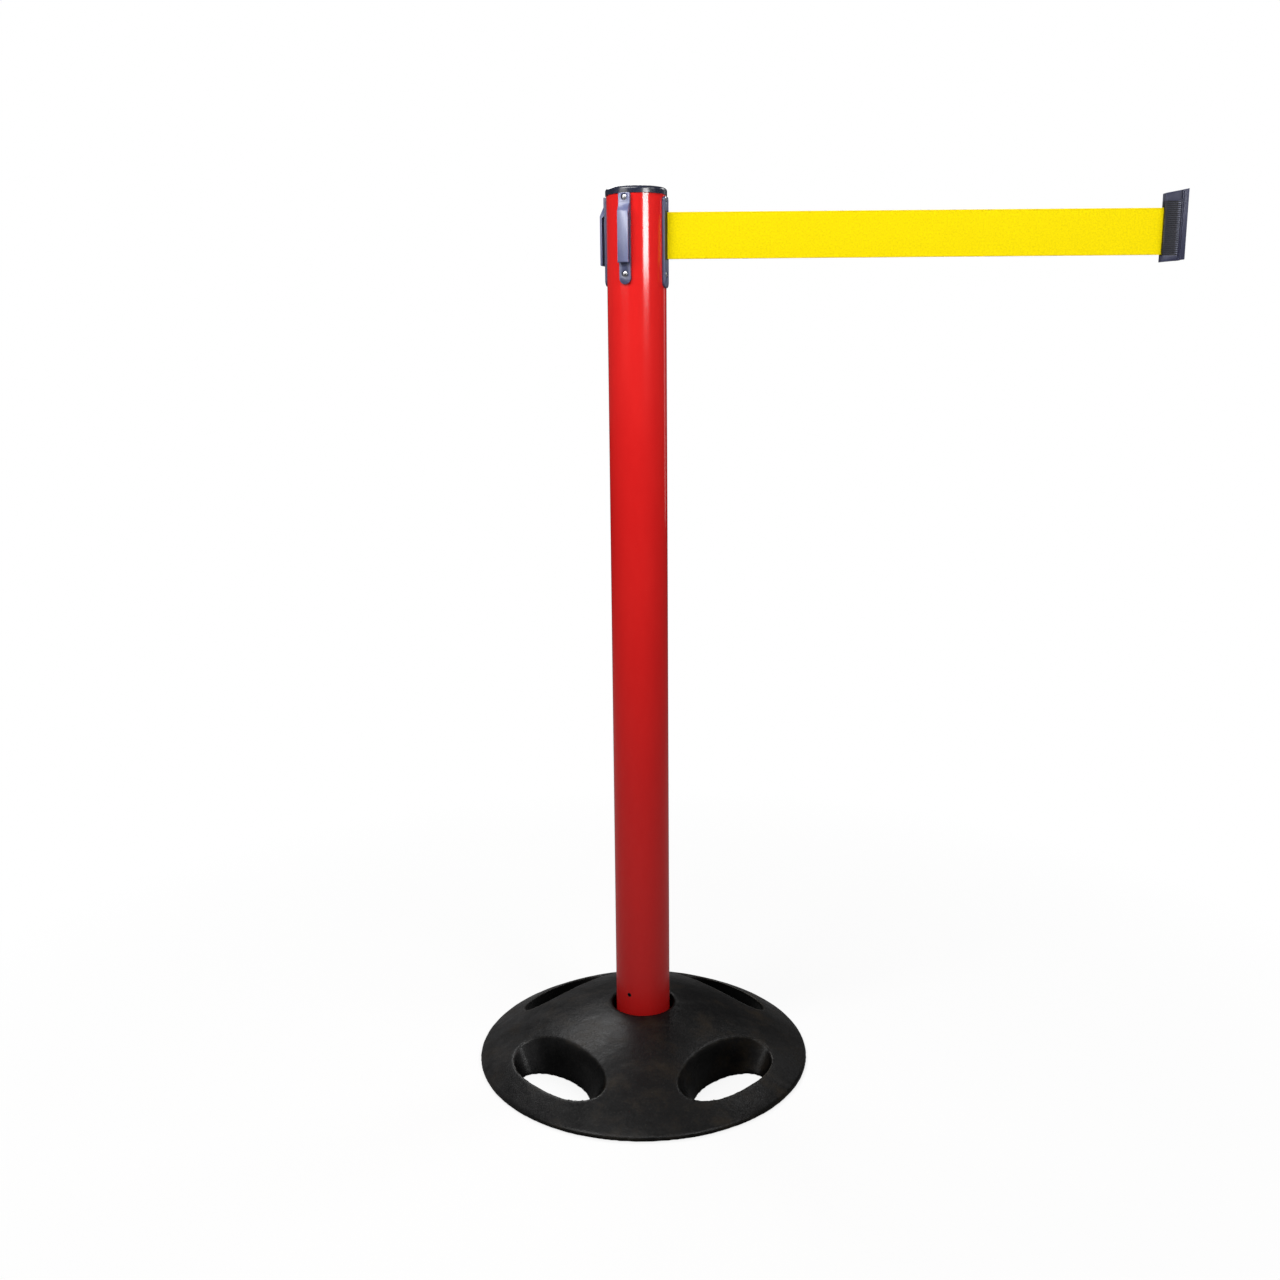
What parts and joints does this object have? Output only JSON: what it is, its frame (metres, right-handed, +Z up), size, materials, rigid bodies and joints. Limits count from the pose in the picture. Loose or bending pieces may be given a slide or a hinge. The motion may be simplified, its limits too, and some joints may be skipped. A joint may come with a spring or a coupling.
{
  "type": "retractable belt stanchion",
  "caption": "Free-standing crowd-control post on a domed rubber base with hand holes; a spring cassette in its top pays out a flat belt whose end clip hooks on to another post.",
  "frame": {"origin": "centre of the rubber base, on the floor", "axes": "+Z up the post; +X along the belt run, from the post towards the belt clip; the belt bracket faces 21.5 degrees from +X towards -Y"},
  "size_m": [0.7742, 0.392, 0.9926],
  "materials": {
    "base_rubber": "moulded recycled rubber, mottled, matt",
    "plate_steel": "mill steel, welded",
    "zinc_steel": "bright zinc plate",
    "insert_brass": "machined brass",
    "black_steel": "black oxide",
    "post_red": "gloss red powder coat",
    "cap_black": "black moulded plastic, satin",
    "head_slate": "slate grey moulded plastic, satin",
    "rivet_alu": "blind rivets, bright",
    "cassette_black": "black moulded plastic",
    "bright_steel": "turned bright steel",
    "spring_steel": "blued spring strip",
    "spool_white": "natural white moulded plastic",
    "belt_yellow": "woven polyester webbing, yellow",
    "clip_charcoal": "charcoal moulded plastic, ribbed grip"
  },
  "bodies": {
    "post": {"rubber_base": "base_rubber", "foot_plate": "plate_steel", "foot_bolts": "zinc_steel", "base_inserts": "insert_brass", "set_screws": "black_steel", "post_tube": "post_red", "top_cap": "cap_black", "belt_bracket": "head_slate", "receiver_front": "head_slate", "receiver_back": "head_slate", "receiver_left": "head_slate", "slot_guide": "cassette_black", "rivets": "rivet_alu", "cassette_floor": "cassette_black", "cassette_roof": "cassette_black", "cassette_spacers": "bright_steel", "cassette_screws": "zinc_steel", "guide_pins": "bright_steel", "shaft_bushes": "insert_brass", "power_spring": "spring_steel", "spring_cover": "cassette_black", "cover_screws": "zinc_steel", "belt_lead": "belt_yellow"},
    "spool_group": {"spool": "spool_white", "spool_shaft": "bright_steel", "shaft_clip": "black_steel", "belt_coil": "belt_yellow"},
    "belt": {"belt_run": "belt_yellow"},
    "belt_clip": {"belt_tail": "belt_yellow", "clip_front": "clip_charcoal", "clip_back": "clip_charcoal", "clip_pin": "bright_steel", "clip_screws": "black_steel"}
  },
  "joints": [
    {"name": "belt_swing", "type": "hinge", "parent": "post", "child": "belt", "pos_m": [0.0329, -0.0093, 0.9441], "axis": [0, 0, 1], "range_deg": [-43, 0]},
    {"name": "belt_slide", "type": "slide", "parent": "belt", "child": "belt_clip", "axis": [1, 0, 0], "range_m": [-0.52, 1.77], "deforming": ["belt_run"]},
    {"name": "spool_spin", "type": "hinge", "parent": "post", "child": "spool_group", "pos_m": [-0.001, 0.0055, 0.9441], "axis": [0, 0, 1], "range_deg": [-1468, 4997]}
  ],
  "couplings": [
    {"joint": "spool_spin", "follows": "belt_slide", "rad_per_m": 49.261}
  ]
}
